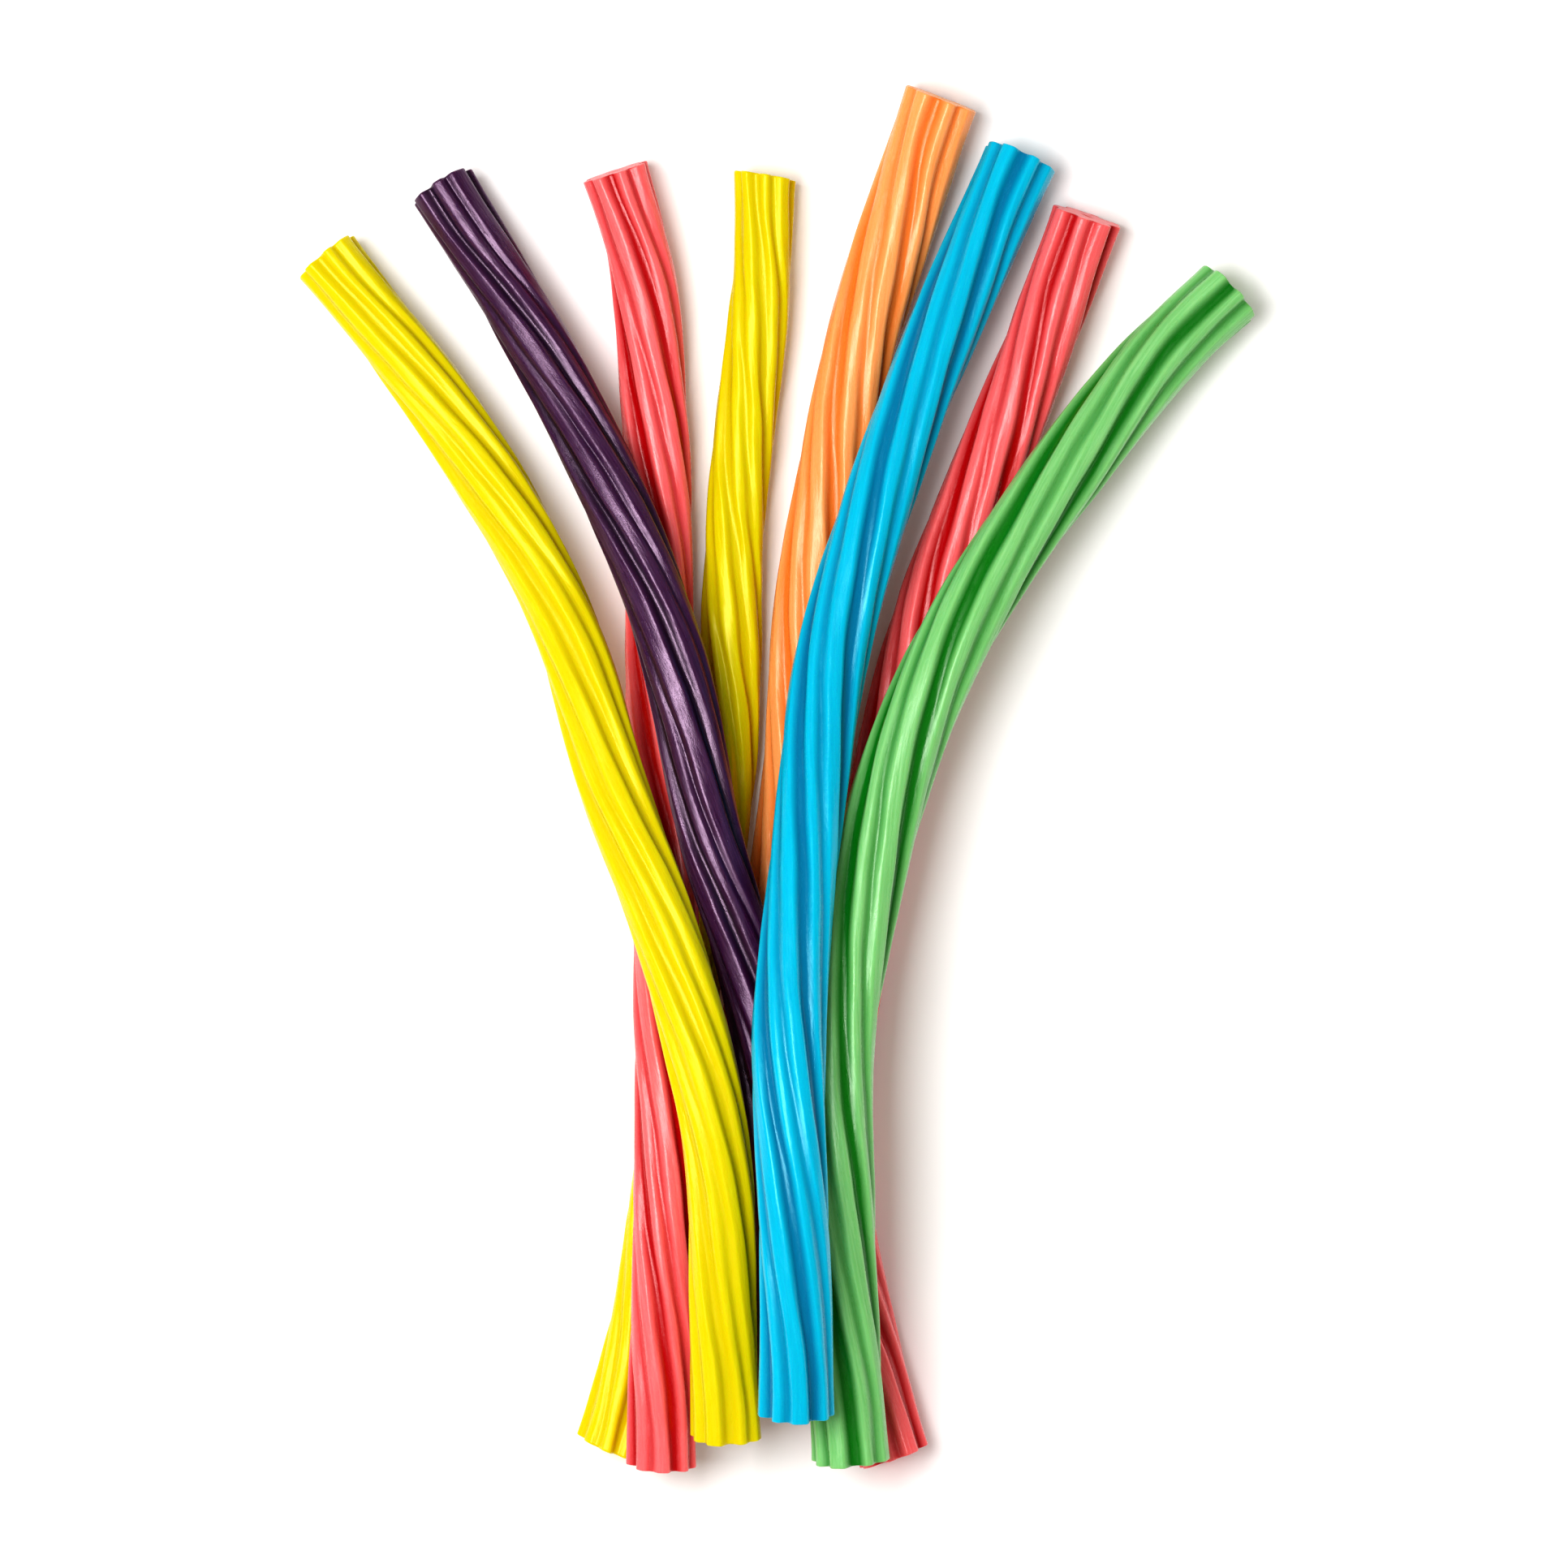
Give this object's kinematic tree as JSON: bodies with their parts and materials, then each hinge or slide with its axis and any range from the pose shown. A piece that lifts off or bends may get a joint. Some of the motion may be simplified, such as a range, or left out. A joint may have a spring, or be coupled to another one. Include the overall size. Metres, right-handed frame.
{
  "type": "candy twist stick pile",
  "caption": "Loose pile of ribbed, left-hand twisted, hollow candy sticks in mixed colours, fanned apart at one end and stacked across each other at the other.",
  "frame": {"origin": "on the table under the middle of the pile", "axes": "+Y along the pile towards its fanned-out end, +Z up from the table, +X to the right when seen from above with +Y up"},
  "size_m": [0.1484, 0.2162, 0.0403],
  "materials": {
    "yellow_candy": "gloss",
    "purple_candy": "gloss",
    "red_candy": "gloss",
    "orange_candy": "gloss",
    "blue_candy": "gloss",
    "green_candy": "gloss"
  },
  "bodies": {
    "yellow_twist_middle": {"yellow_twist_middle": "yellow_candy"},
    "orange_twist": {"orange_twist": "orange_candy"},
    "red_twist_right": {"red_twist_right": "red_candy"},
    "red_twist_left": {"red_twist_left": "red_candy"},
    "purple_twist": {"purple_twist": "purple_candy"},
    "green_twist": {"green_twist": "green_candy"},
    "yellow_twist_left": {"yellow_twist_left": "yellow_candy"},
    "blue_twist": {"blue_twist": "blue_candy"}
  },
  "joints": [
    {"name": "orange_lift", "type": "slide", "parent": "yellow_twist_middle", "child": "orange_twist", "axis": [0, 0, 1], "range_m": [0, 0.04]},
    {"name": "red_right_lift", "type": "slide", "parent": "orange_twist", "child": "red_twist_right", "axis": [0, 0, 1], "range_m": [0, 0.04]},
    {"name": "red_left_lift", "type": "slide", "parent": "red_twist_right", "child": "red_twist_left", "axis": [0, 0, 1], "range_m": [0, 0.04]},
    {"name": "purple_lift", "type": "slide", "parent": "red_twist_left", "child": "purple_twist", "axis": [0, 0, 1], "range_m": [0, 0.04]},
    {"name": "green_lift", "type": "slide", "parent": "purple_twist", "child": "green_twist", "axis": [0, 0, 1], "range_m": [0, 0.04]},
    {"name": "yellow_left_lift", "type": "slide", "parent": "green_twist", "child": "yellow_twist_left", "axis": [0, 0, 1], "range_m": [0, 0.04]},
    {"name": "blue_lift", "type": "slide", "parent": "yellow_twist_left", "child": "blue_twist", "axis": [0, 0, 1], "range_m": [0, 0.04]}
  ]
}
